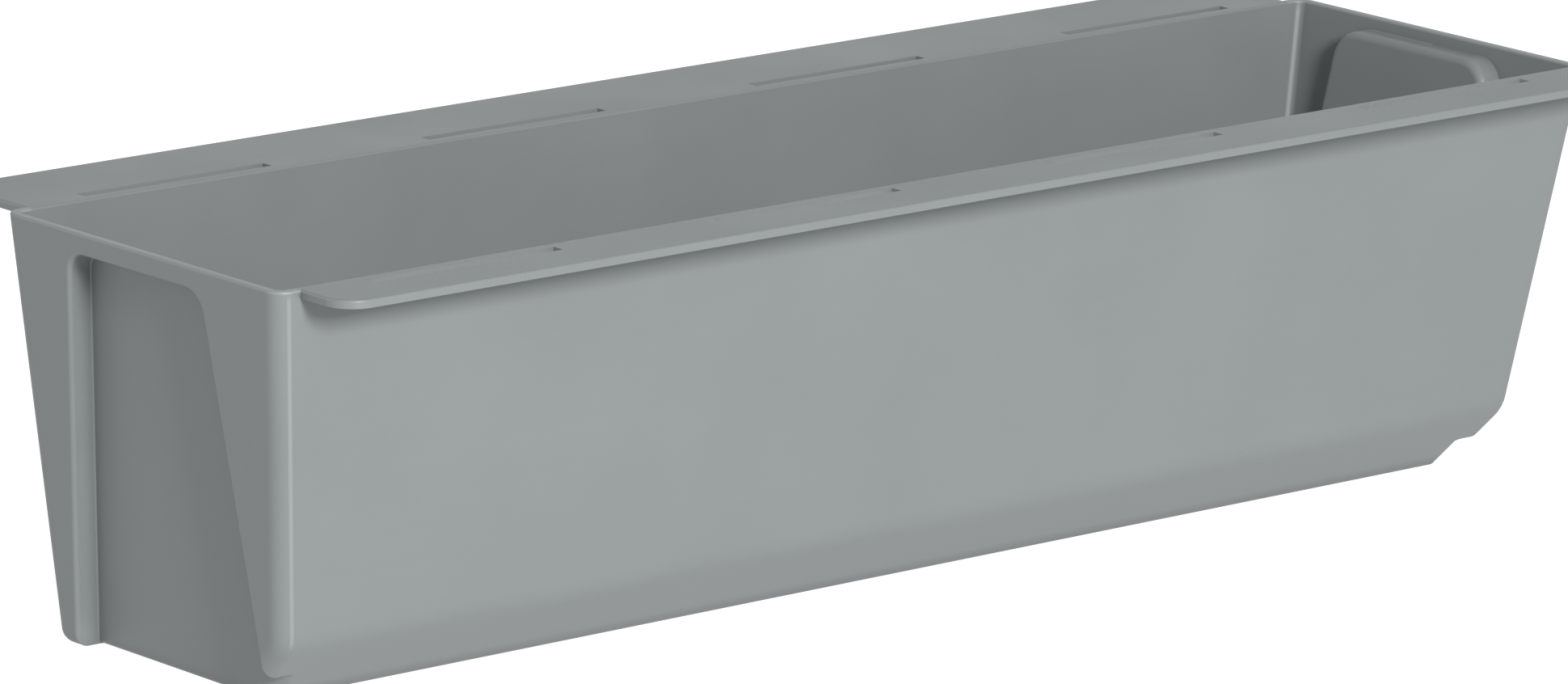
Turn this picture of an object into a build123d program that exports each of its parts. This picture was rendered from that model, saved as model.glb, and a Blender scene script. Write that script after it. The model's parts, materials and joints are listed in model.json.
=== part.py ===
"""Self watering planter trough, 600 mm long, with a lift-out reservoir insert.

Frame: millimetres, +X along the trough, +Y towards the wide back flange, +Z up.
The origin is on the underside of the floor, midway between the end walls and
midway between the long walls at the rim.
"""

import math
import os

from build123d import *

# --- Trough shell -----------------------------------------------------------------
body_length = 600.0        # outside, end wall to end wall at the rim
body_width = 156.0         # outside, front wall to back wall at the rim
body_height = 154.5        # rim to underside of the floor
wall = 3.5
end_draft = 7.15           # degrees each end wall leans in towards the floor
front_draft = 8.75
back_draft = 1.1
corner_radius = 6.5        # upright outside corners
front_chamfer = 24.5       # height and depth of the bevel under the front wall
front_bend_radius = 15.0
floor_edge_radius = 5.5
rim_edge_radius = 0.8
least_radius = 0.4         # sharpest rounding on the inside of a wall

# --- Hollow in each end wall --------------------------------------------------------
recess_depth = 9.2
recess_drop = 7.5          # strip of full end wall left above the hollow
front_post_width = 45.3    # end wall left in front of the hollow, at its top
back_post_width = 36.9     # end wall left behind the hollow, at its top
front_post_flare = 5.4     # degrees the hollow widens towards the front, going down
back_post_flare = 8.25
recess_corner_radius = 9.0
recess_mouth_radius = 1.6  # rounding where the hollow meets the end wall
recess_floor_radius = 0.6  # rounding round the hollow's own floor
bulge_edge_radius = 3.0    # rounding of the bulge that the hollow makes inside
foot_corner_radius = 6.0   # rounding between the hollow and the front bevel
foot_edge_radius = 3.0     # rounding under the hollow

# --- Flanges along the long walls -----------------------------------------------------
flange_thickness = 3.0
flange_end_gap = 9.7       # body left bare at each end of a flange
back_flange = 43.0
front_flange = 24.6
flange_corner_radius = 11.0
slot_length = 80.0
slot_width = 5.0
slot_end_gap = 26.05       # flange end to the first slot
slots_per_flange = 4
slot_wall_gap = 1.0        # flange left between a slot and the wall

# --- Drains and overflow pipes ----------------------------------------------------------
plug_lip = 0.6             # plug flange outside its gasket
plug_flange_thickness = 2.2
plug_recess = 0.4          # how far the plug sits above the resting plane
gasket_thickness = 1.2
gasket_width = 3.4
gasket_land = 0.7          # sealing face left inside the gasket, round the keyway
plug_seat_clearance = 0.5  # round the plug's flange
drain_pad_margin = 4.0     # pad left around the plug's seat
pipe_bore = 6.5            # radius
pipe_wall = 2.0
overflow_height = 42.0     # top of the overflow pipe, above the resting plane
plug_bore_clearance = 0.1
lug_reach = 1.6            # how far a bayonet lug stands out of the plug
lug_width = 4.4
lug_height = 3.0
lug_clearance = 0.3
lug_shoulder = 1.6         # pipe left under a turned lug
spigot_tip = 2.0
grip_bar_width = 5.0
grip_depth = 1.4

# --- Insert: two separators that clip together over the reservoir --------------------------
reservoir_height = 46.5    # floor to underside of the separator
plate_thickness = 2.0
plate_gap = 1.6            # all round, to the trough
skirt_height = 5.0
skirt_thickness = 2.0
plate_corner_radius = 5.0
joint_gap = 0.4            # each separator to the middle plane
joint_flange_height = 8.0
joint_flange_thickness = 2.0
clip_width = 22.0
clip_wall = 1.6
clip_clearance = 0.05
clip_offset = 42.0         # each clip from the middle of the joint
vent_length = 14.0
vent_width = 3.0
vent_pitch = 18.0
vent_row_gap = 7.0
rib_thickness = 1.6        # stiffening ribs under the plate, one each side of a cup
rib_height = 4.0
rib_gap = 5.0              # rib's middle to the cup

# --- Soil cups -------------------------------------------------------------------------------
cup_mouth_radius = 29.0
cup_base_radius = 22.0
cup_wall = 2.0
cup_lip_width = 4.0
cup_lip_thickness = 2.0
cup_clearance = 0.4
cup_slots = 10
cup_slot_width = 3.5
cup_slot_margin = 8.0      # solid band left above and below the slots
cup_base_holes = 6
cup_base_hole_radius = 2.5
cup_base_hole_circle = 13.0
cup_gap = 6.0              # cups to the filling shaft's collar, front to back

# --- Filling shaft and its lid ------------------------------------------------------------------
shaft_width = 44.0
shaft_depth = 24.0
shaft_wall = 2.0
shaft_rim_drop = 20.0      # top of the shaft below the trough's rim
shaft_tail = 6.0           # shaft below the separator
shaft_corner_radius = 4.0
shaft_clearance = 0.3
collar_overhang = 2.0
collar_thickness = 2.0
collar_edge_gap = 2.0      # collar to the separator's front edge
lid_thickness = 2.0
lid_overhang = 1.0
lid_plug_height = 3.0
lid_plug_clearance = 0.5
lid_plug_wall = 1.4
lid_tab_width = 14.0
lid_tab_reach = 2.5
hinge_radius = 2.8
hinge_offset = 3.2         # pin behind the shaft's back face
hinge_drop = 0.5           # pin below the shaft's top
hinge_ear_thickness = 4.0
hinge_ear_outer = 18.0     # outer face of an ear from the shaft's middle
hinge_ear_clearance = 0.2
lid_heel_gap = 0.9         # lid's back edge in front of the shaft's back face
pin_radius = 1.25
pin_running_clearance = 0.05
pin_seat_clearance = 0.02

# --- Water level indicator -------------------------------------------------------------------------
gauge_radius = 8.0
gauge_wall = 1.5
gauge_floor_gap = 4.5      # tube above the trough's floor
gauge_bottom = 2.0
gauge_drain_radius = 2.5
gauge_collar_width = 4.0
gauge_collar_thickness = 2.0
gauge_bevel_gap = 3.0      # tube to the front bevel, inside
gauge_slots = 4
gauge_slot_width = 4.0
gauge_neck = 8.0
gauge_neck_step = 1.0      # neck drawn in from the tube, for the cap
gauge_seat_clearance = 0.05
cap_top_drop = 20.5        # top of the clear cap below the trough's rim
cap_wall = 2.0
cap_shoulder = 1.8         # cap's seat on the end of the neck
sight_height = 13.5        # clear bore above the neck
float_clearance = 0.3      # round the float, in the tube
float_length = 24.0
float_seat = 0.5           # float above the tube's bottom when the reservoir is dry
float_travel = 34.0
float_edge_radius = 1.5
rod_radius = 1.4
rod_seat_clearance = 0.02
rod_in_float = 12.0
rod_in_tip = 8.0
tip_clearance = 1.0        # round the tip, in the cap
tip_length = 14.0
tip_headroom = 1.5         # tip below the cap's ceiling when the float is up

# --- Values worked out from the sizes above -----------------------------------------------------------
floor_top = wall
plate_bottom = floor_top + reservoir_height
plate_top = plate_bottom + plate_thickness
skirt_bottom = plate_bottom - skirt_height
rim = body_height
half_length = body_length / 2
half_width = body_width / 2
flange_length = body_length - 2 * flange_end_gap
slot_pitch = (flange_length - 2 * slot_end_gap - slot_length) / (slots_per_flange - 1)


def run(angle, rise):
    """Sideways travel of a face leaning by angle (degrees) over a rise."""
    return rise * math.tan(math.radians(angle))


def end_face(z, inset=0):
    """Half the length at height z, measured to the end wall or a skin inset from it."""
    return half_length - run(end_draft, rim - z) - inset / math.cos(math.radians(end_draft))


def front_face(z, inset=0):
    return -half_width + run(front_draft, rim - z) + inset / math.cos(math.radians(front_draft))


def back_face(z, inset=0):
    return half_width - run(back_draft, rim - z) - inset / math.cos(math.radians(back_draft))


def bevel_face(z, inset=0):
    return front_face(front_chamfer) + front_chamfer - z + inset * math.sqrt(2)


def bend_height(inset=0):
    """Height where the front wall turns into the bevel, on a skin inset from both."""
    spread = math.sqrt(2) - 1 / math.cos(math.radians(front_draft))
    return front_chamfer + inset * spread / (1 - math.tan(math.radians(front_draft)))


def skin_radius(radius, inset):
    """Rounding of a skin drawn in from an outside rounding."""
    return max(radius - inset, least_radius)


def recess_front(z):
    return -half_width + front_post_width - run(front_post_flare, rim - recess_drop - z)


def recess_back(z):
    return half_width - back_post_width + run(back_post_flare, rim - recess_drop - z)


plate_end = end_face(skirt_bottom, wall) - plate_gap
plate_front = front_face(skirt_bottom, wall) + plate_gap
plate_back = back_face(skirt_bottom, wall) - plate_gap
plate_notch_end = plate_end - recess_depth / math.cos(math.radians(end_draft))
notch_front = recess_front(skirt_bottom) - wall - plate_gap
notch_back = recess_back(skirt_bottom) + wall + plate_gap

shaft_y = plate_front + collar_edge_gap + collar_overhang + shaft_depth / 2
shaft_back = shaft_y + shaft_depth / 2
shaft_top = rim - shaft_rim_drop
cup_lip_radius = cup_mouth_radius + cup_lip_width
cup_y = shaft_back + collar_overhang + cup_gap + cup_lip_radius
cup_line = (plate_notch_end / 4, plate_notch_end * 3 / 4)
station_x = plate_notch_end / 2     # shaft, gauge and drains sit midway between cups
gauge_base = floor_top + gauge_floor_gap
gauge_bore = gauge_radius - gauge_wall
gauge_neck_radius = gauge_radius - gauge_neck_step
cap_bore = gauge_neck_radius - cap_shoulder
float_radius = gauge_bore - float_clearance
tip_radius = cap_bore - tip_clearance
gauge_y = bevel_face(gauge_base, wall) + gauge_bevel_gap + gauge_radius

spigot_radius = pipe_bore - plug_bore_clearance
lug_radius = spigot_radius + lug_reach
groove_radius = lug_radius + lug_clearance
gasket_inner_radius = groove_radius + gasket_land
gasket_radius = gasket_inner_radius + gasket_width
plug_flange_radius = gasket_radius + plug_lip
seat_depth = plug_recess + plug_flange_thickness + gasket_thickness
seat_radius = plug_flange_radius + plug_seat_clearance
pad_top = seat_depth + wall
lug_bottom = seat_depth + lug_shoulder + lug_clearance
lug_top = lug_bottom + lug_height
pipe_foot_radius = groove_radius + pipe_wall
pipe_foot_top = lug_top + lug_clearance + pipe_wall

os.makedirs("parts", exist_ok=True)


def save(piece, name):
    """Label a finished piece and write it."""
    piece.label = name
    export_step(piece, f"parts/{name}.step")


# --- The trough: one moulding ----------------------------------------------------------------------
def tapered_block(inset, end_shift):
    """The trough's outside, or a skin inset from it, as a solid block up to the rim.

    The front-to-back profile runs along the length and the lengthwise profile trims it.
    The end walls move in by end_shift, and their edges then take the hollow's foot radii.
    """
    upright_radius = foot_corner_radius if end_shift else corner_radius
    edge_radius = foot_edge_radius if end_shift else floor_edge_radius
    bend = bend_height(inset)
    with BuildPart() as block:
        with BuildSketch(Plane.YZ.offset(-half_length)):
            with BuildLine():
                Polyline(
                    (front_face(rim, inset), rim),
                    (front_face(bend, inset), bend),
                    (bevel_face(inset, inset), inset),
                    (back_face(inset, inset), inset),
                    (back_face(rim, inset), rim),
                    close=True,
                )
            make_face()
        extrude(amount=body_length)
        with BuildSketch(Plane.XZ.offset(-half_width)):
            with BuildLine():
                rim_end = end_face(rim, inset) - end_shift
                floor_end = end_face(inset, inset) - end_shift
                Polyline(
                    (-rim_end, rim),
                    (-floor_end, inset),
                    (floor_end, inset),
                    (rim_end, rim),
                    close=True,
                )
            make_face()
        extrude(amount=body_width, mode=Mode.INTERSECT)
        bend_edges = block.edges().filter_by(Axis.X).filter_by_position(Axis.Z, bend - 1, bend + 1)
        fillet(bend_edges, skin_radius(front_bend_radius, inset))
        uprights = block.edges().filter_by(
            lambda edge: abs((edge @ 0).Z - (edge @ 1).Z) > front_bend_radius / 5
            and min(abs((edge @ 0).X), abs((edge @ 1).X)) > half_length / 2
        )
        fillet(uprights, skin_radius(upright_radius, inset))
        fillet(block.faces().sort_by(Axis.Z)[0].edges(), skin_radius(edge_radius, inset))
    return block.part


def end_plane(side):
    """Plane of an end wall's outer face: +Y up the wall, +Z outwards."""
    lean = math.radians(end_draft)
    return Plane(
        origin=(side * half_length, 0, rim),
        x_dir=(0, side, 0),
        z_dir=(side * math.cos(lean), 0, -math.sin(lean)),
    )


def end_hollows(inset):
    """The hollow in each end wall, sunk level into it and open through the floor's edge.

    Grown by inset it is the space that the hollow's own wall takes up inside the trough.
    Otherwise a slab lying on the end wall, blended into it, gives the hollow a rounded lip.
    What lies behind it is the same block drawn in, with its corners rounded.
    """
    reach = rim + 2 * wall
    with BuildPart() as hollows:
        for side in (-1, 1):
            face = end_plane(side)
            with BuildSketch(face.offset(wall)) as mouth:
                with BuildLine():
                    top_front = side * (-half_width + front_post_width)
                    top_back = side * (half_width - back_post_width)
                    Polyline(
                        (top_front, -recess_drop),
                        (top_back, -recess_drop),
                        (top_back + side * run(back_post_flare, reach - recess_drop), -reach),
                        (top_front - side * run(front_post_flare, reach - recess_drop), -reach),
                        close=True,
                    )
                make_face()
                fillet(mouth.vertices().group_by(Axis.Y)[-1], recess_corner_radius)
                if inset:
                    offset(amount=inset)
            extrude(amount=2 * recess_depth + 2 * wall, dir=(-side, 0, 0))
            if not inset:
                with BuildSketch(face):
                    Rectangle(2 * body_width, 3 * reach)
                extrude(amount=wall)
                lip = hollows.edges().filter_by(
                    lambda edge: max(abs(face.to_local_coords(edge @ t).Z) for t in (0, 0.5, 1)) < 0.01
                    and abs((edge @ 0.5).Y) < half_width
                    and (edge @ 0.5).Z > 0
                )
                fillet(lip, recess_mouth_radius)
        shift = recess_depth / math.cos(math.radians(end_draft))
        add(tapered_block(inset, shift), mode=Mode.SUBTRACT)
        floors = [end_plane(side).offset(-recess_depth - inset) for side in (-1, 1)]
        floor_edges = hollows.edges().filter_by(
            lambda edge: (edge @ 0.5).Z > 2 * front_bend_radius
            and abs((edge @ 0.5).Y) < half_width - 2 * corner_radius
            and any(
                max(abs(floor.to_local_coords(edge @ t).Z) for t in (0, 0.5, 1)) < 0.01
                for floor in floors
            )
        )
        fillet(floor_edges, bulge_edge_radius if inset else recess_floor_radius)
    return hollows.part


with BuildPart() as cavity:
    add(tapered_block(wall, 0))
    add(end_hollows(wall), mode=Mode.SUBTRACT)

with BuildPart() as trough:
    add(tapered_block(0, 0))
    add(end_hollows(0), mode=Mode.SUBTRACT)
    add(cavity.part, mode=Mode.SUBTRACT)

    # Flanges, flush with the rim, along the two long walls.
    for side, reach in ((1, back_flange), (-1, front_flange)):
        inner_y = half_width - wall / 2
        outer_y = half_width + reach
        with BuildSketch(Plane.XY.offset(rim)) as flange:
            with Locations((0, side * (inner_y + outer_y) / 2)):
                Rectangle(flange_length, outer_y - inner_y)
            free_corners = flange.vertices().group_by(Axis.Y)[-1 if side > 0 else 0]
            fillet(free_corners, flange_corner_radius)
            with Locations((0, side * (half_width + slot_wall_gap + slot_width / 2))):
                with GridLocations(slot_pitch, 0, slots_per_flange, 1):
                    Rectangle(slot_length, slot_width, mode=Mode.SUBTRACT)
        extrude(amount=-flange_thickness)

    # Softened edge round the rim and the flanges; the slots stay sharp.
    slot_row = half_width + slot_wall_gap + slot_width / 2
    rim_edges = trough.edges().filter_by_position(Axis.Z, rim - 0.01, rim + 0.01)
    slot_edges = rim_edges.filter_by(
        lambda edge: abs(abs((edge @ 0.5).Y) - slot_row) < slot_width / 2 + 0.01
        and abs((edge @ 0.5).X) < half_length - 2 * flange_end_gap
    )
    fillet([edge for edge in rim_edges if edge not in slot_edges], rim_edge_radius)

    # A thick pad, an overflow pipe and a plug seat at each drain.
    for side in (-1, 1):
        with BuildSketch(Plane.XY.offset(floor_top / 2)):
            with Locations((side * station_x, cup_y)):
                Circle(seat_radius + drain_pad_margin)
        extrude(amount=pad_top - floor_top / 2)
        with BuildSketch(Plane.XY.offset(floor_top)):
            with Locations((side * station_x, cup_y)):
                Circle(pipe_foot_radius)
        extrude(amount=pipe_foot_top - floor_top)
        with BuildSketch(Plane.XY.offset(floor_top)):
            with Locations((side * station_x, cup_y)):
                Circle(pipe_bore + pipe_wall)
        extrude(amount=overflow_height - floor_top)
        with BuildSketch(Plane.XY):
            with Locations((side * station_x, cup_y)):
                Circle(seat_radius)
        extrude(amount=seat_depth, mode=Mode.SUBTRACT)
        with BuildSketch(Plane.XY):
            with Locations((side * station_x, cup_y)):
                Circle(pipe_bore)
        extrude(amount=overflow_height, mode=Mode.SUBTRACT)
        with BuildSketch(Plane.XY.offset(lug_bottom - lug_clearance)):
            with Locations((side * station_x, cup_y)):
                Circle(groove_radius)
        extrude(amount=lug_height + 2 * lug_clearance, mode=Mode.SUBTRACT)
        with BuildSketch(Plane.XY) as keyway:
            with Locations((side * station_x, cup_y)):
                Rectangle(2 * groove_radius, lug_width + 2 * lug_clearance)
                Circle(groove_radius, mode=Mode.INTERSECT)
        extrude(amount=lug_top + lug_clearance, mode=Mode.SUBTRACT)
save(trough.part, "trough")


# --- Separators: the perforated false floor in two halves ---------------------------------------------
def separator_outline(side, shrink):
    """Corners of one separator's outline, drawn in by shrink, notched round the end hollow."""
    joint = side * (joint_gap + shrink)
    end = side * (plate_end - shrink)
    notch = side * (plate_notch_end - shrink)
    return (
        (joint, plate_front + shrink),
        (end, plate_front + shrink),
        (end, notch_front - shrink),
        (notch, notch_front - shrink),
        (notch, notch_back + shrink),
        (end, notch_back + shrink),
        (end, plate_back - shrink),
        (joint, plate_back - shrink),
    )


def outer_corners(outline, side):
    """The two corners of an outline that lie in the trough's rounded uprights."""
    rows = outline.vertices().group_by(Axis.Y)
    pick = -1 if side > 0 else 0
    return [row.sort_by(Axis.X)[pick] for row in (rows[0], rows[-1])]


def make_separator(side, name):
    """One separator: side -1 carries the gauge, side +1 the filling shaft."""
    with BuildPart() as separator:
        with BuildSketch(Plane.XY.offset(skirt_bottom)) as outline:
            with BuildLine():
                Polyline(*separator_outline(side, 0), close=True)
            make_face()
            fillet(outer_corners(outline, side), plate_corner_radius)
        extrude(amount=plate_top - skirt_bottom)
        with BuildSketch(Plane.XY.offset(skirt_bottom)) as inside:
            with BuildLine():
                Polyline(*separator_outline(side, skirt_thickness), close=True)
            make_face()
            fillet(outer_corners(inside, side), plate_corner_radius - skirt_thickness)
        extrude(amount=skirt_height, mode=Mode.SUBTRACT)

        # Upstand along the joint, for the clips.
        middle = side * (joint_gap + joint_flange_thickness / 2)
        span = plate_back - plate_front
        with BuildSketch(Plane.XY.offset(plate_top)):
            with Locations((middle, (plate_back + plate_front) / 2)):
                Rectangle(joint_flange_thickness, span)
        extrude(amount=joint_flange_height)

        # Ribs under the plate, as far back as the row of air slots.
        back_row = cup_y + cup_lip_radius + vent_row_gap
        rib_back = back_row - vent_width
        with BuildSketch(Plane.XY.offset(plate_bottom - rib_height)):
            with Locations(*[(side * x, (plate_front + rib_back) / 2) for x in cup_line]):
                with GridLocations(2 * (cup_mouth_radius + rib_gap), 0, 2, 1):
                    Rectangle(rib_thickness, rib_back - plate_front)
        extrude(amount=rib_height)

        # Holes for the cups and for the shaft or the gauge.
        with BuildSketch(Plane.XY.offset(skirt_bottom)):
            with Locations(*[(side * x, cup_y) for x in cup_line]):
                Circle(cup_mouth_radius + cup_clearance)
            if side > 0:
                with Locations((station_x, shaft_y)):
                    RectangleRounded(
                        shaft_width + 2 * shaft_clearance,
                        shaft_depth + 2 * shaft_clearance,
                        shaft_corner_radius,
                    )
            else:
                with Locations((-station_x, gauge_y)):
                    Circle(gauge_radius + shaft_clearance)
        extrude(amount=plate_top - skirt_bottom, mode=Mode.SUBTRACT)

        # Air slots: one row behind the cups and two short rows between them.
        back_count = int((plate_notch_end - 2 * vent_pitch) / vent_pitch)
        with BuildSketch(Plane.XY.offset(plate_bottom)):
            with Locations((side * (plate_notch_end + joint_flange_thickness) / 2, back_row)):
                with GridLocations(vent_pitch, 0, back_count, 1):
                    SlotOverall(vent_length, vent_width)
            with Locations((side * station_x, cup_y)):
                with GridLocations(vent_pitch, 2 * vent_row_gap, 2, 3):
                    SlotOverall(vent_length, vent_width)
        extrude(amount=plate_thickness, mode=Mode.SUBTRACT)
    save(separator.part, name)
    return separator.part


make_separator(-1, "separator_left")
make_separator(1, "separator_right")


# --- Clips: each is a channel pressed down over both upstands -------------------------------------------
clip_y = (plate_front + plate_back) / 2
clip_slot = 2 * (joint_gap + joint_flange_thickness + clip_clearance)
clip_foot = plate_top + clip_clearance
clip_crown = plate_top + joint_flange_height + clip_clearance
for name, y in (("joint_clip_front", clip_y - clip_offset), ("joint_clip_back", clip_y + clip_offset)):
    with BuildPart() as clip:
        with BuildSketch(Plane.XY.offset(clip_foot)):
            with Locations((0, y)):
                Rectangle(clip_slot + 2 * clip_wall, clip_width)
        extrude(amount=clip_crown + clip_wall - clip_foot)
        with BuildSketch(Plane.XY.offset(clip_foot)):
            with Locations((0, y)):
                Rectangle(clip_slot, clip_width)
        extrude(amount=clip_crown - clip_foot, mode=Mode.SUBTRACT)
        fillet(clip.edges().filter_by(Axis.Y).group_by(Axis.Z)[-1], clip_wall / 2)
    save(clip.part, name)


# --- Soil cups: slotted feet full of soil that stand in the water ------------------------------------------
def make_cup(x, name):
    """One tapered, slotted cup hanging in its separator and standing on the floor."""
    cup_height = plate_top - floor_top
    lean = math.degrees(math.atan((cup_mouth_radius - cup_base_radius) / cup_height))
    with BuildPart() as cup:
        with BuildSketch(Plane.XZ):
            with BuildLine():
                Polyline(
                    (0, floor_top),
                    (cup_base_radius, floor_top),
                    (cup_mouth_radius, plate_top),
                    (cup_lip_radius, plate_top),
                    (cup_lip_radius, plate_top + cup_lip_thickness),
                    (cup_mouth_radius - cup_wall, plate_top + cup_lip_thickness),
                    (cup_base_radius - cup_wall + run(lean, cup_wall), floor_top + cup_wall),
                    (0, floor_top + cup_wall),
                    close=True,
                )
            make_face()
        revolve(axis=Axis.Z)
        # Slots through the side, leaving a band at the top and the bottom.
        slot_height = cup_height - 2 * cup_slot_margin
        with BuildSketch(Plane.XY.offset(floor_top + cup_slot_margin)):
            with PolarLocations(cup_mouth_radius - cup_wall, cup_slots):
                Rectangle(cup_mouth_radius - cup_base_radius + 3 * cup_wall, cup_slot_width)
        extrude(amount=slot_height, mode=Mode.SUBTRACT)
        with BuildSketch(Plane.XY.offset(floor_top)):
            with PolarLocations(cup_base_hole_circle, cup_base_holes):
                Circle(cup_base_hole_radius)
        extrude(amount=cup_wall, mode=Mode.SUBTRACT)
        fillet(cup.edges().filter_by(GeomType.CIRCLE).group_by(Axis.Z)[-1], cup_lip_thickness / 3)
    save(cup.part.moved(Location((x, cup_y, 0))), name)


for name, x in (
    ("soil_cup_1", -cup_line[1]),
    ("soil_cup_2", -cup_line[0]),
    ("soil_cup_3", cup_line[0]),
    ("soil_cup_4", cup_line[1]),
):
    make_cup(x, name)


# --- Filling shaft: a rectangular pipe through the right separator, with two hinge ears ---------------------
hinge_y = shaft_back + hinge_offset
hinge_z = shaft_top - hinge_drop
ear_middle = hinge_ear_outer - hinge_ear_thickness / 2
with BuildPart() as fill_shaft:
    with BuildSketch(Plane.XY.offset(plate_bottom - shaft_tail)):
        with Locations((station_x, shaft_y)):
            RectangleRounded(shaft_width, shaft_depth, shaft_corner_radius)
    extrude(amount=shaft_top - plate_bottom + shaft_tail)
    with BuildSketch(Plane.XY.offset(plate_top)):
        with Locations((station_x, shaft_y)):
            RectangleRounded(
                shaft_width + 2 * collar_overhang,
                shaft_depth + 2 * collar_overhang,
                shaft_corner_radius + collar_overhang,
            )
    extrude(amount=collar_thickness)
    with BuildSketch(Plane.XY.offset(plate_bottom - shaft_tail)):
        with Locations((station_x, shaft_y)):
            RectangleRounded(
                shaft_width - 2 * shaft_wall,
                shaft_depth - 2 * shaft_wall,
                shaft_corner_radius - shaft_wall,
            )
    extrude(amount=shaft_top - plate_bottom + shaft_tail, mode=Mode.SUBTRACT)
    for x in (station_x - ear_middle, station_x + ear_middle):
        with BuildSketch(Plane.YZ.offset(x)):
            with Locations((hinge_y, hinge_z)):
                Circle(hinge_radius)
            with Locations((shaft_back + hinge_offset / 2 - shaft_wall / 4, hinge_z - hinge_radius)):
                Rectangle(hinge_offset + shaft_wall / 2, 2 * hinge_radius)
            with Locations((hinge_y, hinge_z)):
                Circle(pin_radius + pin_seat_clearance, mode=Mode.SUBTRACT)
        extrude(amount=hinge_ear_thickness / 2, both=True)
save(fill_shaft.part, "fill_shaft")

# --- Lid: a flap with a rim that drops into the shaft and a barrel between the ears --------------------------
barrel_half = hinge_ear_outer - hinge_ear_thickness - hinge_ear_clearance
lid_front = shaft_y - shaft_depth / 2 - lid_overhang
lid_back = shaft_back - lid_heel_gap
with BuildPart() as fill_lid:
    with BuildSketch(Plane.XY.offset(shaft_top)):
        with Locations((station_x, (lid_front + lid_back) / 2)):
            Rectangle(shaft_width + 2 * lid_overhang, lid_back - lid_front)
        with Locations((station_x, lid_front - lid_tab_reach / 2)):
            Rectangle(lid_tab_width, lid_tab_reach)
        with Locations((station_x, (lid_back + hinge_y) / 2)):
            Rectangle(2 * barrel_half, hinge_y - lid_back)
    extrude(amount=lid_thickness)
    fillet(fill_lid.edges().filter_by(Axis.Z).group_by(Axis.Y)[0], lid_tab_reach / 2)
    with BuildSketch(Plane.YZ.offset(station_x)):
        with Locations((hinge_y, hinge_z)):
            Circle(hinge_radius)
            Circle(pin_radius + pin_running_clearance, mode=Mode.SUBTRACT)
    extrude(amount=barrel_half, both=True)
    with BuildSketch(Plane.YZ.offset(station_x)):
        with Locations((hinge_y, hinge_z)):
            Circle(pin_radius + pin_running_clearance)
    extrude(amount=barrel_half, both=True, mode=Mode.SUBTRACT)
    plug_width = shaft_width - 2 * (shaft_wall + lid_plug_clearance)
    plug_depth = shaft_depth - 2 * (shaft_wall + lid_plug_clearance)
    with BuildSketch(Plane.XY.offset(shaft_top)):
        with Locations((station_x, shaft_y)):
            RectangleRounded(plug_width, plug_depth, shaft_corner_radius - shaft_wall)
            Rectangle(plug_width - 2 * lid_plug_wall, plug_depth - 2 * lid_plug_wall, mode=Mode.SUBTRACT)
    extrude(amount=-lid_plug_height)
save(fill_lid.part, "fill_lid")

with BuildPart() as lid_pin:
    with BuildSketch(Plane.YZ.offset(station_x)):
        with Locations((hinge_y, hinge_z)):
            Circle(pin_radius)
    extrude(amount=hinge_ear_outer, both=True)
    chamfer(lid_pin.edges().filter_by(GeomType.CIRCLE), pin_radius / 5)
save(lid_pin.part, "lid_pin")


# --- Water level indicator ---------------------------------------------------------------------------------------
cap_top = rim - cap_top_drop
ceiling = cap_top - cap_wall
tube_top = ceiling - sight_height
neck_bottom = tube_top - gauge_neck
tip_top = ceiling - tip_headroom - float_travel
float_bottom = gauge_base + gauge_bottom + float_seat
float_top = float_bottom + float_length
tip_bottom = tip_top - tip_length

with BuildPart(Plane((-station_x, gauge_y, 0))) as gauge_tube:
    with BuildSketch(Plane((-station_x, gauge_y, gauge_base))):
        Circle(gauge_radius)
    extrude(amount=neck_bottom - gauge_base)
    with BuildSketch(Plane((-station_x, gauge_y, neck_bottom))):
        Circle(gauge_neck_radius)
    extrude(amount=gauge_neck)
    with BuildSketch(Plane((-station_x, gauge_y, plate_top))):
        Circle(gauge_radius + gauge_collar_width)
    extrude(amount=gauge_collar_thickness)
    with BuildSketch(Plane((-station_x, gauge_y, gauge_base + gauge_bottom))):
        Circle(gauge_bore)
    extrude(amount=tube_top - gauge_base - gauge_bottom, mode=Mode.SUBTRACT)
    with BuildSketch(Plane((-station_x, gauge_y, gauge_base))):
        Circle(gauge_drain_radius)
    extrude(amount=gauge_bottom, mode=Mode.SUBTRACT)
    with BuildSketch(Plane((-station_x, gauge_y, gauge_base + 2 * gauge_bottom))):
        with PolarLocations((gauge_bore + gauge_radius) / 2, gauge_slots, start_angle=45):
            Rectangle(2 * (gauge_radius - gauge_bore), gauge_slot_width)
    extrude(amount=skirt_bottom - gauge_base - 4 * gauge_bottom, mode=Mode.SUBTRACT)
save(gauge_tube.part, "gauge_tube")

with BuildPart() as gauge_cap:
    with BuildSketch(Plane((-station_x, gauge_y, neck_bottom))):
        Circle(gauge_radius)
    extrude(amount=cap_top - neck_bottom)
    fillet(gauge_cap.edges().filter_by(GeomType.CIRCLE).group_by(Axis.Z)[-1], cap_wall)
    with BuildSketch(Plane((-station_x, gauge_y, neck_bottom))):
        Circle(gauge_neck_radius + gauge_seat_clearance)
    extrude(amount=gauge_neck, mode=Mode.SUBTRACT)
    with BuildSketch(Plane((-station_x, gauge_y, neck_bottom))):
        Circle(cap_bore)
    extrude(amount=ceiling - neck_bottom, mode=Mode.SUBTRACT)
save(gauge_cap.part, "gauge_cap")

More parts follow.
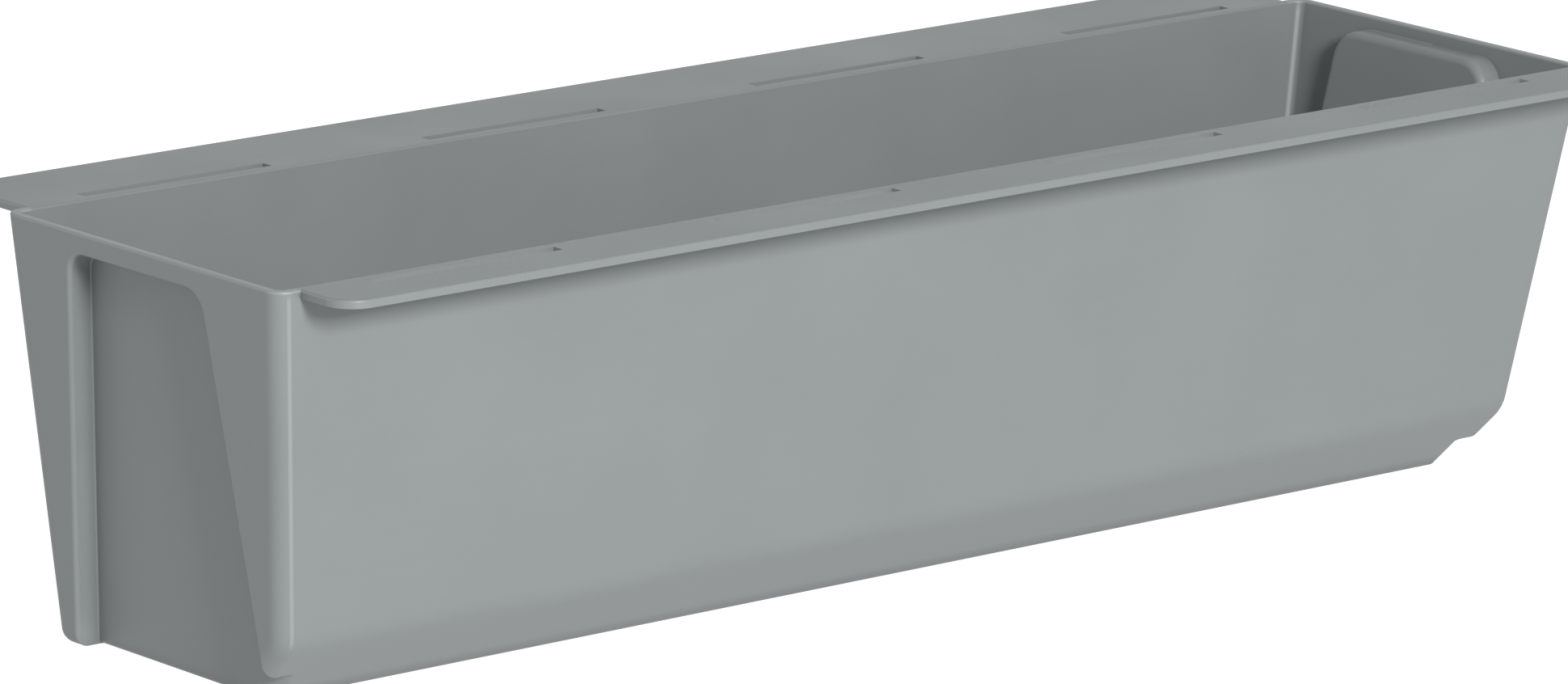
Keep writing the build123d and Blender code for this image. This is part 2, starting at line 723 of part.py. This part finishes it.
with BuildPart() as gauge_float:
    with BuildSketch(Plane((-station_x, gauge_y, float_bottom))):
        Circle(float_radius)
    extrude(amount=float_length)
    fillet(gauge_float.edges().filter_by(GeomType.CIRCLE), float_edge_radius)
    with BuildSketch(Plane((-station_x, gauge_y, float_top - rod_in_float))):
        Circle(rod_radius + rod_seat_clearance)
    extrude(amount=rod_in_float, mode=Mode.SUBTRACT)
save(gauge_float.part, "gauge_float")

with BuildPart() as gauge_rod:
    with BuildSketch(Plane((-station_x, gauge_y, float_top - rod_in_float))):
        Circle(rod_radius)
    extrude(amount=tip_bottom + rod_in_tip - float_top + rod_in_float)
save(gauge_rod.part, "gauge_rod")

with BuildPart() as gauge_tip:
    with BuildSketch(Plane((-station_x, gauge_y, tip_bottom))):
        Circle(tip_radius)
    extrude(amount=tip_length)
    fillet(gauge_tip.edges().filter_by(GeomType.CIRCLE).group_by(Axis.Z)[-1], tip_radius / 2)
    with BuildSketch(Plane((-station_x, gauge_y, tip_bottom))):
        Circle(rod_radius + rod_seat_clearance)
    extrude(amount=rod_in_tip, mode=Mode.SUBTRACT)
save(gauge_tip.part, "gauge_tip")


# --- Drain plugs: a quarter turn frees the lugs, each seals with a flat gasket ---------------------------------------
for side, hand in ((-1, "left"), (1, "right")):
    with BuildPart() as drain_plug:
        with BuildSketch(Plane((side * station_x, cup_y, plug_recess))):
            Circle(plug_flange_radius)
        extrude(amount=plug_flange_thickness)
        with BuildSketch(Plane((side * station_x, cup_y, plug_recess))):
            Circle(spigot_radius)
        extrude(amount=lug_top + spigot_tip - plug_recess)
        with BuildSketch(Plane((side * station_x, cup_y, lug_bottom))):
            Rectangle(lug_width, 2 * lug_radius)
            Circle(lug_radius, mode=Mode.INTERSECT)
        extrude(amount=lug_height)
        # Finger bar left standing between two hollows in the underside.
        with BuildSketch(Plane((side * station_x, cup_y, plug_recess))):
            Circle(plug_flange_radius - pipe_wall)
            Rectangle(grip_bar_width, 2 * plug_flange_radius, mode=Mode.SUBTRACT)
        extrude(amount=grip_depth, mode=Mode.SUBTRACT)
    save(drain_plug.part, f"drain_plug_{hand}")

    with BuildPart() as gasket:
        with BuildSketch(Plane((side * station_x, cup_y, plug_recess + plug_flange_thickness))):
            Circle(gasket_radius)
            Circle(gasket_inner_radius, mode=Mode.SUBTRACT)
        extrude(amount=gasket_thickness)
    save(gasket.part, f"drain_gasket_{hand}")
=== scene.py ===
import json
import math

import bpy
import numpy as np
from mathutils import Matrix, Vector


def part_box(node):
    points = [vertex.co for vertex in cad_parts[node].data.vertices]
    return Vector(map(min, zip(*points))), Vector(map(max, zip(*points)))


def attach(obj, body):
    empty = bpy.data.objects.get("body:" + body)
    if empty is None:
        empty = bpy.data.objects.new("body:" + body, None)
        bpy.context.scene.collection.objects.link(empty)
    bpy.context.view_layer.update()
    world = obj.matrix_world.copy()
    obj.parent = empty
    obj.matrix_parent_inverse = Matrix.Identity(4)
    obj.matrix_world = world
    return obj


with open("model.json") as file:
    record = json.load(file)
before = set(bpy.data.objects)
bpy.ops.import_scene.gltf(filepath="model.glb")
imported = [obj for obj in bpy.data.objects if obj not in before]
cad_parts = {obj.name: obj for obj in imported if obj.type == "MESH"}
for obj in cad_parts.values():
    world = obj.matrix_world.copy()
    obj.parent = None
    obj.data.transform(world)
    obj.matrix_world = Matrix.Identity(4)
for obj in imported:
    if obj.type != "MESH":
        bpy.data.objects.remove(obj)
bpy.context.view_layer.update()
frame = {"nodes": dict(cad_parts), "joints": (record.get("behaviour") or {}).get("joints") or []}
nodes = frame["nodes"]

# --- View ---------------------------------------------------------------------------
# A long lens looks down on the trough from the front and to the left of it, close
# enough that both ends run just out of view.
view_azimuth = math.radians(39.792)      # from the front wall round to the left end
view_elevation = math.radians(13.497)
view_roll = math.radians(0.574)
focal_length = 244.09                    # mm, on a film back 36 mm wide
rim_right, rim_above, rim_away = 0.01372, 0.07286, 3.75924   # rim's middle from the lens

shell_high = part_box("trough")[1]
rim_middle = Vector((0, 0, shell_high.z))
level_right = Vector((math.cos(view_azimuth), -math.sin(view_azimuth), 0))
forward = Vector((
    math.sin(view_azimuth) * math.cos(view_elevation),
    math.cos(view_azimuth) * math.cos(view_elevation),
    -math.sin(view_elevation),
))
level_up = level_right.cross(forward)
right = math.cos(view_roll) * level_right + math.sin(view_roll) * level_up
up = -math.sin(view_roll) * level_right + math.cos(view_roll) * level_up
lens_place = rim_middle - right * rim_right - up * rim_above - forward * rim_away

lens = bpy.data.cameras.new("lens")
lens.sensor_width = 36
lens.lens = focal_length
lens.clip_end = 100
camera = bpy.data.objects.new("camera", lens)
camera.matrix_world = Matrix.Translation(lens_place) @ Matrix((right, up, -forward)).transposed().to_4x4()
bpy.context.scene.collection.objects.link(camera)
bpy.context.scene.camera = camera
bpy.context.scene.view_settings.view_transform = "Standard"

# --- Studio -------------------------------------------------------------------------
# The trough stands on a lit white table. One soft box stands in front and a little to
# its left, a broad low sheet of light behind it grazes the flanges, and the room is dim.
room_strength = 0.50
key_power = 142.0
key_colour = (1.0, 0.975, 0.965)
key_size = (0.7, 0.7)
key_place = Vector((-0.95, -3.10, 1.47))
backlight_power = 60.0
backlight_colour = (0.97, 1.0, 1.0)
backlight_size = (12.0, 3.5)
backlight_place = Vector((5.1, 6.1, 2.2))
floor_half = 12.0
floor_drop = 0.0002                      # keeps the table's face off the trough's underside
floor_tone = (0.25, 0.25, 0.25, 1)
floor_glow = 0.70                        # light that comes up through the table
floor_white = 0.95                       # the same, as bright as the camera sees it


def link_mesh(name, points, faces):
    """A mesh object made from an array of points and an array of four-cornered faces."""
    mesh = bpy.data.meshes.new(name)
    mesh.from_pydata(points.tolist(), [], faces.tolist())
    mesh.update()
    made = bpy.data.objects.new(name, mesh)
    bpy.context.scene.collection.objects.link(made)
    return made


def node(tree, kind, inputs=None, **settings):
    """Adds a shader node; an input takes a value, or a link from another node's socket."""
    made = tree.nodes.new(kind)
    for key, value in settings.items():
        setattr(made, key, value)
    for key, value in (inputs or {}).items():
        if isinstance(value, bpy.types.NodeSocket):
            tree.links.new(value, made.inputs[key])
        else:
            made.inputs[key].default_value = value
    return made


floor_corners = [(-1, -1), (1, -1), (1, 1), (-1, 1)]
floor_points = np.array([(x * floor_half, y * floor_half, -floor_drop) for x, y in floor_corners])
floor = link_mesh("floor", floor_points, np.array([(0, 1, 2, 3)]))
floor_paint = bpy.data.materials.new("floor_paint")
floor_paint.use_nodes = True
paint = floor_paint.node_tree.nodes["Principled BSDF"]
paint.inputs["Base Color"].default_value = floor_tone
paint.inputs["Roughness"].default_value = 0.9
paint.inputs["Specular IOR Level"].default_value = 0.1
paint.inputs["Emission Color"].default_value = (1, 1, 1, 1)
seen = node(floor_paint.node_tree, "ShaderNodeLightPath").outputs["Is Camera Ray"]
table_light = node(floor_paint.node_tree, "ShaderNodeMapRange", {
    "Value": seen, "To Min": floor_glow, "To Max": floor_white,
})
floor_paint.node_tree.links.new(table_light.outputs["Result"], paint.inputs["Emission Strength"])
floor.data.materials.append(floor_paint)

room = bpy.data.worlds.new("room")
room.use_nodes = True
room.node_tree.nodes["Background"].inputs["Color"].default_value = (1, 1, 1, 1)
room.node_tree.nodes["Background"].inputs["Strength"].default_value = room_strength
bpy.context.scene.world = room

for light_name, place, size, power, colour in (
    ("key", key_place, key_size, key_power, key_colour),
    ("backlight", backlight_place, backlight_size, backlight_power, backlight_colour),
):
    light = bpy.data.lights.new(light_name, "AREA")
    light.shape = "RECTANGLE"
    light.size, light.size_y = size
    light.energy = power
    light.color = colour
    soft_box = bpy.data.objects.new(light_name, light)
    soft_box.matrix_world = (
        Matrix.Translation(place)
        @ (place - rim_middle).to_track_quat("Z", "Y").to_matrix().to_4x4()
    )
    bpy.context.scene.collection.objects.link(soft_box)

# --- Trough -------------------------------------------------------------------------
# The outer shell is one injection moulding in stone-grey polypropylene. Its tool was
# spark-eroded, which leaves a fine matt grain, and the melt ran out from the middle.
stone_grey = (0.174, 0.191, 0.193)


def moulded(name, tone, roughness=0.48, mottle=0.03, streaks=0.02, scuffs=0.10,
            grain=0.0006, grain_depth=0.00003, rubbed=None):
    """Injection-moulded plastic.

    Colour is the tone times broad mottling times fine streaks drawn out along the flow,
    with pale scuffs where stretched noise is near its top. Roughness follows the
    mottling and the scuffs. Bump is a fine grain of two sizes. rubbed is a pair of
    heights: the scuffs are whole up to the first and fall to a quarter at the second.
    """
    made = bpy.data.materials.new(name)
    made.use_nodes = True
    tree = made.node_tree
    shader = tree.nodes["Principled BSDF"]
    place = node(tree, "ShaderNodeTexCoord").outputs["Object"]
    cloud = node(tree, "ShaderNodeTexNoise", {"Vector": place, "Scale": 14.0, "Detail": 4.0})
    drawn = node(tree, "ShaderNodeMapping", {"Vector": place, "Scale": (6.0, 260.0, 260.0)})
    streak = node(tree, "ShaderNodeTexNoise", {
        "Vector": drawn.outputs["Vector"], "Scale": 1.0, "Detail": 3.0,
    })
    rub = node(tree, "ShaderNodeMapping", {
        "Vector": place, "Rotation": (0.4, 0.9, 0.5), "Scale": (30.0, 900.0, 420.0),
    })
    rub_noise = node(tree, "ShaderNodeTexNoise", {
        "Vector": rub.outputs["Vector"], "Scale": 1.0, "Detail": 5.0, "Roughness": 0.65,
    })
    scuff = node(tree, "ShaderNodeMapRange", {
        "Value": rub_noise.outputs["Fac"], "From Min": 0.60, "From Max": 0.78, "To Max": scuffs,
    }).outputs["Result"]
    if rubbed:
        height = node(tree, "ShaderNodeSeparateXYZ", {"Vector": place}).outputs["Z"]
        near = node(tree, "ShaderNodeMapRange", {
            "Value": height, "From Min": rubbed[0], "From Max": rubbed[1],
            "To Min": 1.0, "To Max": 0.25,
        }).outputs["Result"]
        scuff = node(tree, "ShaderNodeMath", {0: scuff, 1: near}, operation="MULTIPLY").outputs[0]
    shade = node(tree, "ShaderNodeMapRange", {
        "Value": cloud.outputs["Fac"], "From Min": 0.3, "From Max": 0.7,
        "To Min": 1 - mottle, "To Max": 1 + mottle,
    }).outputs["Result"]
    flow = node(tree, "ShaderNodeMapRange", {
        "Value": streak.outputs["Fac"], "From Min": 0.3, "From Max": 0.7,
        "To Min": 1 - streaks, "To Max": 1 + streaks,
    }).outputs["Result"]
    gain = node(tree, "ShaderNodeMath", {0: shade, 1: flow}, operation="MULTIPLY").outputs[0]
    tinted = node(tree, "ShaderNodeVectorMath", {0: tone, "Scale": gain}, operation="SCALE").outputs[0]
    worn = node(tree, "ShaderNodeMix", {
        "Factor": scuff, "A": tinted, "B": tuple(min(1.0, 1.5 * t + 0.08) for t in tone) + (1,),
    }, data_type="RGBA")
    tree.links.new(worn.outputs["Result"], shader.inputs["Base Color"])
    matt = node(tree, "ShaderNodeMapRange", {
        "Value": cloud.outputs["Fac"], "From Min": 0.3, "From Max": 0.7,
        "To Min": roughness - 0.04, "To Max": roughness + 0.05,
    }).outputs["Result"]
    dull = node(tree, "ShaderNodeMath", {0: scuff, 1: 0.6, 2: matt}, operation="MULTIPLY_ADD")
    tree.links.new(dull.outputs[0], shader.inputs["Roughness"])
    coarse = node(tree, "ShaderNodeTexNoise", {"Vector": place, "Scale": 1 / grain, "Detail": 2.0})
    fine = node(tree, "ShaderNodeTexVoronoi", {"Vector": place, "Scale": 1.9 / grain})
    both = node(tree, "ShaderNodeMath", {
        0: fine.outputs["Distance"], 1: 0.6, 2: coarse.outputs["Fac"],
    }, operation="MULTIPLY_ADD")
    bump = node(tree, "ShaderNodeBump", {
        "Height": both.outputs[0], "Distance": grain_depth, "Strength": 1.0,
    })
    tree.links.new(bump.outputs["Normal"], shader.inputs["Normal"])
    return made


def finish(name, material):
    """Puts one material on the whole of a fixed node."""
    held = nodes[name].data.materials
    held.clear()
    held.append(material)


shell = moulded("stone_grey_shell", stone_grey, roughness=0.42, streaks=0.004, rubbed=(0.0, 0.012))
finish("trough", shell)

# Painted shade darkens the creases. Painted highlights: a pale line where the rounding
# begins, at two corners across from each other, and paler ends of the rim.
crease_reach = 0.006
crease_shade = 0.26
highlight_line_inset = 0.0048                    # from the end wall to the painted highlight line
end_lean = math.tan(math.radians(7.15))  # how far an end wall leans out, per height
highlight_line_half_width = 0.0005
highlight_line_foot = 0.027                     # the lines start over the bevel
highlight_line_top_gap = 0.004                  # and stop under the rim
highlight_line_fade = 0.003
rim_highlight_height = 0.0007                        # height of the painted highlight along the rim's edge
flange_end = 0.2903                      # the rim has the painted highlight beyond the flanges
flange_fade = 0.0005
mark_fade = 0.0003
highlight_gain = 1.27                       # how much paler the painted highlight lines and rim are


def within(tree, value, low, high, soft):
    """One while a value lies between low and high, falling to nothing over soft."""
    after = node(tree, "ShaderNodeMapRange", {
        "Value": value, "From Min": low - soft, "From Max": low,
    }).outputs["Result"]
    before = node(tree, "ShaderNodeMapRange", {
        "Value": value, "From Min": high, "From Max": high + soft, "To Min": 1.0, "To Max": 0.0,
    }).outputs["Result"]
    return node(tree, "ShaderNodeMath", {0: after, 1: before}, operation="MULTIPLY").outputs[0]


def shell_shade_and_highlights(material):
    """Adds painted shade in the creases, and painted highlight lines and rim ends, to a moulding.

    The colour is multiplied by a painted shade that falls from one, in the open, to one minus
    crease_shade in the closest corners. A highlight line is where |x| is its place at that
    height, give or take highlight_line_half_width, and x and y have the same sign. The lines
    and the rim are drawn paler, as painted highlights.
    """
    tree = material.node_tree
    shader = tree.nodes["Principled BSDF"]
    plain = shader.inputs["Base Color"].links[0].from_socket
    # Painted shade: darker where ambient occlusion finds close surfaces, in creases and corners.
    open_sky = node(tree, "ShaderNodeAmbientOcclusion", {"Distance": crease_reach}, samples=8)
    shade = node(tree, "ShaderNodeMapRange", {
        "Value": open_sky.outputs["AO"], "From Min": 0.25, "From Max": 0.95,
        "To Min": 1 - crease_shade, "To Max": 1.0,
    }).outputs["Result"]
    crease_shaded = node(tree, "ShaderNodeVectorMath", {0: plain, "Scale": shade}, operation="SCALE").outputs[0]
    place = node(tree, "ShaderNodeTexCoord").outputs["Object"]
    axes = node(tree, "ShaderNodeSeparateXYZ", {"Vector": place})
    height = axes.outputs["Z"]
    reach = node(tree, "ShaderNodeMath", {0: axes.outputs["X"]}, operation="ABSOLUTE").outputs[0]
    upright = node(tree, "ShaderNodeMath", {
        0: height, 1: -end_lean, 2: reach,
    }, operation="MULTIPLY_ADD").outputs[0]
    # Painted highlight: a pale line along two corners, where the rounding meets the wall.
    highlight_line_x = shell_high.x - highlight_line_inset - end_lean * shell_high.z
    line = within(
        tree, upright, highlight_line_x - highlight_line_half_width, highlight_line_x + highlight_line_half_width, mark_fade,
    )
    line = node(tree, "ShaderNodeMath", {
        0: line,
        1: within(tree, height, highlight_line_foot, shell_high.z - highlight_line_top_gap, highlight_line_fade),
    }, operation="MULTIPLY").outputs[0]
    across = node(tree, "ShaderNodeMath", {
        0: axes.outputs["X"], 1: axes.outputs["Y"],
    }, operation="MULTIPLY").outputs[0]
    highlight_corners = node(tree, "ShaderNodeMath", {0: across, 1: 0.0}, operation="GREATER_THAN").outputs[0]
    line = node(tree, "ShaderNodeMath", {0: line, 1: highlight_corners}, operation="MULTIPLY").outputs[0]
    # Painted highlight: the rim's top edge is drawn paler beyond the flanges.
    rim_end = node(tree, "ShaderNodeMath", {
        0: within(tree, height, shell_high.z - rim_highlight_height, 1.0, mark_fade),
        1: within(tree, reach, flange_end, 1.0, flange_fade),
    }, operation="MULTIPLY").outputs[0]
    pale = node(tree, "ShaderNodeMath", {0: line, 1: rim_end}, operation="MAXIMUM").outputs[0]
    # Mixes in the painted highlights of the lines and the rim.
    drawn = node(tree, "ShaderNodeMix", {
        "Factor": pale, "A": crease_shaded, "B": tuple(highlight_gain * t for t in stone_grey) + (1,),
    }, data_type="RGBA")
    tree.links.new(drawn.outputs["Result"], shader.inputs["Base Color"])


shell_shade_and_highlights(shell)

# --- Drain plugs --------------------------------------------------------------------
# Each black plug turns a quarter in its seat under the floor and squeezes a flat
# rubber gasket. The rubber has bloomed a little, so it is duller than the plug.
plug_black = (0.045, 0.047, 0.049)
plug_rubbed = (0.0, 0.004)               # a plug's foot scrapes what the trough stands on
for hand in ("left", "right"):
    finish(f"drain_plug_{hand}", moulded(f"black_plug_{hand}", plug_black, scuffs=0.3, rubbed=plug_rubbed))


def soft_rubber(name, tone):
    """Black rubber: dull, with a pale bloom where low noise gathers and a coarse skin."""
    made = bpy.data.materials.new(name)
    made.use_nodes = True
    tree = made.node_tree
    shader = tree.nodes["Principled BSDF"]
    place = node(tree, "ShaderNodeTexCoord").outputs["Object"]
    bloom = node(tree, "ShaderNodeTexNoise", {"Vector": place, "Scale": 260.0, "Detail": 5.0})
    tint = node(tree, "ShaderNodeMix", {
        "Factor": bloom.outputs["Fac"], "A": tone + (1,), "B": tuple(2.6 * t for t in tone) + (1,),
    }, data_type="RGBA")
    tree.links.new(tint.outputs["Result"], shader.inputs["Base Color"])
    matt = node(tree, "ShaderNodeMapRange", {
        "Value": bloom.outputs["Fac"], "To Min": 0.62, "To Max": 0.92,
    })
    tree.links.new(matt.outputs["Result"], shader.inputs["Roughness"])
    skin = node(tree, "ShaderNodeTexNoise", {"Vector": place, "Scale": 2200.0, "Detail": 3.0})
    bump = node(tree, "ShaderNodeBump", {"Height": skin.outputs["Fac"], "Distance": 0.00005})
    tree.links.new(bump.outputs["Normal"], shader.inputs["Normal"])
    return made


gasket_rubber = soft_rubber("gasket_rubber", (0.022, 0.022, 0.023))
for hand in ("left", "right"):
    finish(f"drain_gasket_{hand}", gasket_rubber)

# --- Separators ---------------------------------------------------------------------
# Two perforated false floors, moulded in black recycled polypropylene, rest over the
# water. Recycled stock shows more flow marks and a paler dusting than new plastic.
recycled_black = moulded(
    "recycled_black", (0.040, 0.042, 0.044), roughness=0.52, mottle=0.14, streaks=0.12,
    scuffs=0.22, grain=0.0009, grain_depth=0.00006,
)
for side in ("left", "right"):
    finish(f"separator_{side}", recycled_black)

# --- Clips --------------------------------------------------------------------------
# Two short channels, pressed down over the upstands where the separators meet.
# They are moulded in the same black but polished, to slide on.
clip_black = moulded("clip_black", (0.048, 0.050, 0.053), roughness=0.34, scuffs=0.3, grain_depth=0.00001)
for place_name in ("front", "back"):
    finish(f"joint_clip_{place_name}", clip_black)

# --- Soil cups ----------------------------------------------------------------------
# Four slotted baskets hang in the separators and stand on the floor, full of soil
# that draws the water up. Black, drawn out of the tool lengthwise.
cup_black = moulded(
    "cup_black", (0.036, 0.038, 0.040), roughness=0.50, mottle=0.12, scuffs=0.28,
    grain=0.0008, grain_depth=0.00005, rubbed=(0.003, 0.03),
)
for number in range(1, 5):
    finish(f"soil_cup_{number}", cup_black)

# --- Filling shaft ------------------------------------------------------------------
# A rectangular pipe in dark grey carries water down through the right separator,
# and its lid hinges on a steel pin between two ears.
finish("fill_shaft", moulded("shaft_grey", (0.058, 0.061, 0.064), roughness=0.44, scuffs=0.2))
finish("fill_lid", moulded("lid_grey", (0.078, 0.082, 0.086), roughness=0.40, scuffs=0.35, rubbed=(0.1, 0.2)))


def ridge(name, start, end, half_width, rise, steps=40, around=12):
    """A raised rib with rounded ends, lying on a level surface.

    u runs from start to end and v runs over the rib from one foot to the other. The
    height is rise times the sine of v, the offset is half_width times the cosine, and
    both shrink to nothing at the ends as the fourth root of 1 - (2u - 1) to the eighth.
    """
    start, end = np.array(start, float), np.array(end, float)
    along = (end - start) / np.linalg.norm(end - start)
    across = np.array([-along[1], along[0], 0.0])
    u = 0.5 - 0.5 * np.cos(np.linspace(0, math.pi, steps))[:, None]
    v = np.linspace(0, math.pi, around)[None, :]
    swell = np.clip(1 - (2 * u - 1) ** 8, 0, 1) ** 0.25
    points = (
        start + (end - start) * u[..., None]
        + across * (half_width * swell * np.cos(v))[..., None]
        + np.array([0, 0, 1.0]) * (rise * swell * np.sin(v))[..., None]
    ).reshape(-1, 3)
    i, j = np.meshgrid(np.arange(steps - 1), np.arange(around - 1), indexing="ij")
    corner = i * around + j
    faces = np.stack([corner, corner + around, corner + around + 1, corner + 1], -1).reshape(-1, 4)
    made = link_mesh(name, points, faces)
    made.data.polygons.foreach_set("use_smooth", np.ones(len(made.data.polygons), bool))
    return made


lid_low, lid_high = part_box("fill_lid")
lid_middle = (lid_low.x + lid_high.x) / 2
rib_half_length = 0.008
ribs_behind_edge = (0.0045, 0.0070, 0.0095)
for count, back in enumerate(ribs_behind_edge, 1):
    finger_rib = ridge(
        f"lid_finger_rib_{count}",
        (lid_middle - rib_half_length, lid_low.y + back, lid_high.z),
        (lid_middle + rib_half_length, lid_low.y + back, lid_high.z),
        half_width=0.0006, rise=0.0005,
    )
    finger_rib.data.materials.append(nodes["fill_lid"].data.materials[0])
    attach(finger_rib, "fill_lid")


def drawn_steel(name):
    """Stainless wire: bright metal with fine lines along X from drawing through a die."""
    made = bpy.data.materials.new(name)
    made.use_nodes = True
    tree = made.node_tree
    shader = tree.nodes["Principled BSDF"]
    shader.inputs["Metallic"].default_value = 1.0
    place = node(tree, "ShaderNodeTexCoord").outputs["Object"]
    drawn = node(tree, "ShaderNodeMapping", {"Vector": place, "Scale": (60.0, 9000.0, 9000.0)})
    lines = node(tree, "ShaderNodeTexNoise", {"Vector": drawn.outputs["Vector"], "Scale": 1.0})
    tint = node(tree, "ShaderNodeMix", {
        "Factor": lines.outputs["Fac"], "A": (0.50, 0.50, 0.49, 1), "B": (0.72, 0.71, 0.69, 1),
    }, data_type="RGBA")
    tree.links.new(tint.outputs["Result"], shader.inputs["Base Color"])
    matt = node(tree, "ShaderNodeMapRange", {"Value": lines.outputs["Fac"], "To Min": 0.2, "To Max": 0.42})
    tree.links.new(matt.outputs["Result"], shader.inputs["Roughness"])
    bump = node(tree, "ShaderNodeBump", {"Height": lines.outputs["Fac"], "Distance": 0.00001})
    tree.links.new(bump.outputs["Normal"], shader.inputs["Normal"])
    return made


finish("lid_pin", drawn_steel("pin_steel"))

# --- Water level indicator ----------------------------------------------------------
# A white foam float lifts a red tip on a rod, inside a dark tube that ends in a clear
# cap. Two bands moulded on the cap show where the tip stands when empty and full.
finish("gauge_tube", moulded("tube_grey", (0.055, 0.058, 0.061), roughness=0.42, scuffs=0.15))
finish("gauge_rod", moulded(
    "rod_white", (0.74, 0.74, 0.71), roughness=0.36, scuffs=0.05, grain_depth=0.00001,
))
finish("gauge_tip", moulded(
    "tip_red", (0.56, 0.030, 0.022), roughness=0.22, mottle=0.02, scuffs=0.03, grain_depth=0.000004,
))


def foam(name, tone):
    """Closed-cell foam: pale cells with darker walls between them, dull all over."""
    made = bpy.data.materials.new(name)
    made.use_nodes = True
    tree = made.node_tree
    shader = tree.nodes["Principled BSDF"]
    shader.inputs["Subsurface Weight"].default_value = 0.15
    shader.inputs["Subsurface Scale"].default_value = 0.002
    place = node(tree, "ShaderNodeTexCoord").outputs["Object"]
    cells = node(tree, "ShaderNodeTexVoronoi", {"Vector": place, "Scale": 900.0})
    tint = node(tree, "ShaderNodeMix", {
        "Factor": cells.outputs["Distance"], "A": tone + (1,), "B": tuple(0.8 * t for t in tone) + (1,),
    }, data_type="RGBA")
    tree.links.new(tint.outputs["Result"], shader.inputs["Base Color"])
    matt = node(tree, "ShaderNodeMapRange", {
        "Value": cells.outputs["Distance"], "To Min": 0.7, "To Max": 0.9,
    })
    tree.links.new(matt.outputs["Result"], shader.inputs["Roughness"])
    bump = node(tree, "ShaderNodeBump", {
        "Height": cells.outputs["Distance"], "Distance": 0.0002, "Strength": 0.7,
    })
    tree.links.new(bump.outputs["Normal"], shader.inputs["Normal"])
    return made


finish("gauge_float", foam("float_foam", (0.84, 0.84, 0.80)))


def clear_moulding(name):
    """Clear hard plastic with a faint smoky tint, hairline scratches and a soft haze."""
    made = bpy.data.materials.new(name)
    made.use_nodes = True
    tree = made.node_tree
    shader = tree.nodes["Principled BSDF"]
    shader.inputs["Transmission Weight"].default_value = 0.95
    shader.inputs["IOR"].default_value = 1.49
    place = node(tree, "ShaderNodeTexCoord").outputs["Object"]
    haze = node(tree, "ShaderNodeTexNoise", {"Vector": place, "Scale": 120.0, "Detail": 4.0})
    tint = node(tree, "ShaderNodeMix", {
        "Factor": haze.outputs["Fac"], "A": (0.90, 0.93, 0.93, 1), "B": (0.97, 0.98, 0.98, 1),
    }, data_type="RGBA")
    tree.links.new(tint.outputs["Result"], shader.inputs["Base Color"])
    matt = node(tree, "ShaderNodeMapRange", {"Value": haze.outputs["Fac"], "To Min": 0.04, "To Max": 0.14})
    tree.links.new(matt.outputs["Result"], shader.inputs["Roughness"])
    drawn = node(tree, "ShaderNodeMapping", {"Vector": place, "Scale": (2400.0, 2400.0, 90.0)})
    hairs = node(tree, "ShaderNodeTexNoise", {"Vector": drawn.outputs["Vector"], "Scale": 1.0})
    bump = node(tree, "ShaderNodeBump", {"Height": hairs.outputs["Fac"], "Distance": 0.000006})
    tree.links.new(bump.outputs["Normal"], shader.inputs["Normal"])
    return made


finish("gauge_cap", clear_moulding("clear_cap"))


def turned(name, outline, centre, steps=64):
    """A closed outline carried round an upright axis.

    Point (i, j) stands at the angle 2 pi i / steps round the centre, at the radius and
    the height of outline point j. The outline runs anticlockwise, seen with the radius
    to the right and the height upwards, so that the faces look outwards.
    """
    outline = np.asarray(outline, float)
    angle = np.linspace(0, 2 * math.pi, steps, endpoint=False)[:, None]
    radius, height = outline[None, :, 0], outline[None, :, 1]
    points = np.stack([
        centre[0] + radius * np.cos(angle),
        centre[1] + radius * np.sin(angle),
        centre[2] + height + 0 * angle,
    ], axis=-1).reshape(-1, 3)
    i, j = np.meshgrid(np.arange(steps), np.arange(len(outline)), indexing="ij")
    ahead, above = (i + 1) % steps, (j + 1) % len(outline)
    width = len(outline)
    faces = np.stack([i * width + j, ahead * width + j, ahead * width + above, i * width + above], -1)
    made = link_mesh(name, points, faces.reshape(-1, 4))
    made.data.polygons.foreach_set("use_smooth", np.ones(len(made.data.polygons), bool))
    return made


def rounded_band(inner, outer, low, high, bend):
    """Outline of a band from radius inner to outer and height low to high, bent over
    at its two outer corners by quarter circles of radius bend."""
    turn = np.linspace(0, math.pi / 2, 6)
    foot = np.stack([outer - bend + bend * np.sin(turn), low + bend - bend * np.cos(turn)], 1)
    crown = np.stack([outer - bend + bend * np.cos(turn), high - bend + bend * np.sin(turn)], 1)
    return np.concatenate([[(inner, low)], foot, crown, [(inner, high)]])


cap_low, cap_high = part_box("gauge_cap")
tip_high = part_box("gauge_tip")[1]
cap_axis = ((cap_low.x + cap_high.x) / 2, (cap_low.y + cap_high.y) / 2, 0.0)
cap_radius = (cap_high.x - cap_low.x) / 2
rise = next(j for j in frame["joints"] if j["name"] == "gauge_rise")["range_m"][1]
empty_above_cap_foot = 0.003
full_below_tip = 0.002
band_sunk = 0.0002                       # into the cap's wall
band_proud = 0.0004                      # out of it
band_half_height = 0.0005
band_bend = 0.0003
for mark, level in (
    ("empty", cap_low.z + empty_above_cap_foot),
    ("full", tip_high.z + rise - full_below_tip),
):
    section = rounded_band(
        cap_radius - band_sunk, cap_radius + band_proud,
        level - band_half_height, level + band_half_height, band_bend,
    )
    band = turned(f"level_band_{mark}", section, cap_axis)
    band.data.materials.append(nodes["gauge_tube"].data.materials[0])
    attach(band, "insert")
